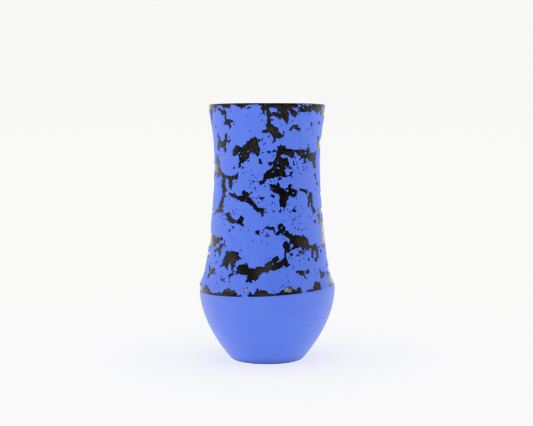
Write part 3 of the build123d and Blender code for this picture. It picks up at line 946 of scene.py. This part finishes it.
def clay_material():
    """Bare fired stoneware: buff, sandy, with iron specks.

    Just above the floor it is washed with blue slip, painted dark as contact shadow.
    """
    m = Nodes("bare_stoneware", 0.85, 0.25)
    sand = m.noise(0.8, 4.0, 0.7)
    iron = m.noise(1.1, 1.0)
    toast = m.noise(18, 2.0)
    base = m.mix(m.greys(toast, 0.35, 0, 0.65, 0.7), srgb(186, 168, 144), srgb(164, 136, 106))
    sandy = m.mix(m.greys(sand, 0.4, 0, 0.7, 0.5), base, srgb(210, 196, 172))
    specked = m.mix(m.greys(iron, 0.7, 0, 0.74, 0.85), sandy, srgb(84, 58, 42))
    # Painted contact shadow: the blue slip wash at the foot is darker than the slip itself.
    washed_and_shaded = m.mix(m.along("Z", 0.00002, 0.0001, 0.0, 0.95), specked, srgb(32, 50, 108))
    m.colour(m.mix(m.along("Z", 0.0012, 0.0016, 0.0, 1.0), washed_and_shaded, specked))
    m.bump((sand, 0.08), (m.noise(0.35, 2.0), 0.03))
    return m.material


def paint(piece, material):
    """Gives a piece one material."""
    piece.data.materials.clear()
    piece.data.materials.append(material)


def assign_materials(crust, glaze, slip, liner):
    """Gives every piece its material: the four new ones and the four CAD nodes of clay."""
    clay = clay_material()
    for node in ("bowl_section", "upper_section", "luting_slip", "seam_coil"):
        paint(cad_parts[node], clay)
    paint(crust, crust_material())
    paint(slip, slip_material())
    # The third colour is painted reflection: the paler glaze deep inside the tears.
    paint(glaze, glaze_material("dark_glaze_gloss", srgb(14, 15, 13), srgb(18, 18, 15), srgb(38, 37, 33)))
    paint(liner, glaze_material("liner_glaze_gloss", srgb(10, 9, 8), srgb(44, 38, 32)))


# ---- Studio ----

CAMERA_AT = (-0.0005, -0.860, 0.186)
CAMERA_DOWN = 4.75  # degrees below level
LENS = 74.1  # on a sensor 36 mm wide
FLOOR_GLOW = 0.7  # the backdrop's own light on the floor
BACK_GLOW = 0.4  # on the wall behind the vase
SIDE_GLOW = 0.12  # and high on the side walls
GLOW_TINT = (1.0, 0.995, 0.98, 1)
BEND_R, WALL_R, WALL_TOP, FLOOR_END = 0.6, 1.9, 3.0, 5.0  # the backdrop's sizes
BEND_STEPS, DEGREES_PER_STEP = 16, 5
WALL_TURNS = (-25, 205)  # the wall stands between these turns from +X, and the front is open
WORLD_COLOUR, WORLD_STRENGTH = (0.98, 0.99, 1.0, 1), 0.22
LIGHTS = [  # name, place, aim, size and power in watts
    ("key", (-1.6, -0.5, 1.1), (0, 0, 0.1), 1.3, 10.5),
    ("fill", (1.5, -0.7, 0.9), (0, 0, 0.1), 1.2, 2.8),
    ("overhead", (0.0, -0.3, 1.7), (0, -0.3, 0), 1.4, 8.5),
    ("front", (-0.15, -1.9, 0.8), (0, 0, 0.08), 1.0, 5),
    ("glint_left", (-1.08, -1.2, 1.15), (0, 0, 0.08), 0.2, 7),
    ("glint_right", (1.05, -1.25, 1.25), (0, 0, 0.08), 0.18, 5),
]


def camera():
    """The camera of the front view."""
    data = bpy.data.cameras.new("camera")
    data.sensor_width = 36.0
    data.lens = LENS
    piece = placed("camera", data)
    piece.location = CAMERA_AT
    piece.rotation_euler = (math.radians(90 - CAMERA_DOWN), 0, 0)
    bpy.context.scene.camera = piece


def area_light(name, at, aim, size, power):
    """A soft square light at a place, aimed at another."""
    data = bpy.data.lights.new(name, "AREA")
    data.shape = "SQUARE"
    data.size = size
    data.energy = power
    lamp = placed(name, data)
    lamp.location = at
    lamp.rotation_euler = (Vector(aim) - Vector(at)).to_track_quat("-Z", "Y").to_euler()


def sweep_material():
    """White paper with a glow of its own on the floor and the back wall, and less on the sides."""
    m = Nodes("white_sweep", 0.9, 0.1, Emission_Color=GLOW_TINT)
    m.colour(m.greys(m.noise(120, 2.0), 0.3, 0.90, 0.7, 0.92))
    most = m.new("Math")
    most.operation = "MAXIMUM"
    m.link(m.along("Y", 0.6, 1.6, SIDE_GLOW, BACK_GLOW), most.inputs[0])
    m.link(m.along("Z", 0.02, 0.45, FLOOR_GLOW, SIDE_GLOW), most.inputs[1])
    m.link(most.outputs[0], m.shader.inputs["Emission Strength"])
    return m.material


def backdrop():
    """A round white floor that curves up into a white wall behind and at both sides, open in front."""
    flat = [(0.0, 0.0), (WALL_R - BEND_R, 0.0)]
    bend = []
    for i in range(1, BEND_STEPS + 1):
        turn = math.pi / 2 * i / BEND_STEPS
        bend.append((WALL_R - BEND_R + BEND_R * math.sin(turn), BEND_R - BEND_R * math.cos(turn)))
    wall = flat + bend + [(WALL_R, WALL_TOP)]
    floor = flat + [(FLOOR_END, 0.0)]
    right, left = WALL_TURNS
    points, faces = [], []
    for profile, first, last in ((wall, right, left), (floor, left, right + 360)):
        steps = (last - first) // DEGREES_PER_STEP
        start = len(points)
        for i in range(steps + 1):
            turn = math.radians(first + (last - first) * i / steps)
            points += [(r * math.cos(turn), r * math.sin(turn), z) for r, z in profile]
        size = len(profile)
        for i in range(steps):
            row = start + i * size
            faces.append((row, row + 1, row + size + 1))
            faces += [(row + j, row + j + 1, row + size + j + 1, row + size + j) for j in range(1, size - 1)]
    piece = placed("backdrop", smooth_mesh("backdrop", points, faces, 1e-6, closed=False))
    paint(piece, sweep_material())


def studio():
    """The backdrop, the lights and the view transform."""
    backdrop()
    world = bpy.data.worlds.new("studio")
    bpy.context.scene.world = world
    world.use_nodes = True
    set_inputs(world.node_tree.nodes["Background"], Color=WORLD_COLOUR, Strength=WORLD_STRENGTH)
    for light in LIGHTS:
        area_light(*light)
    bpy.context.scene.view_settings.view_transform = "Khronos PBR Neutral"


camera()
torn = crust_field()
assign_materials(blue_crust(torn), dark_glaze(torn), belly_slip(), liner_glaze())
studio()
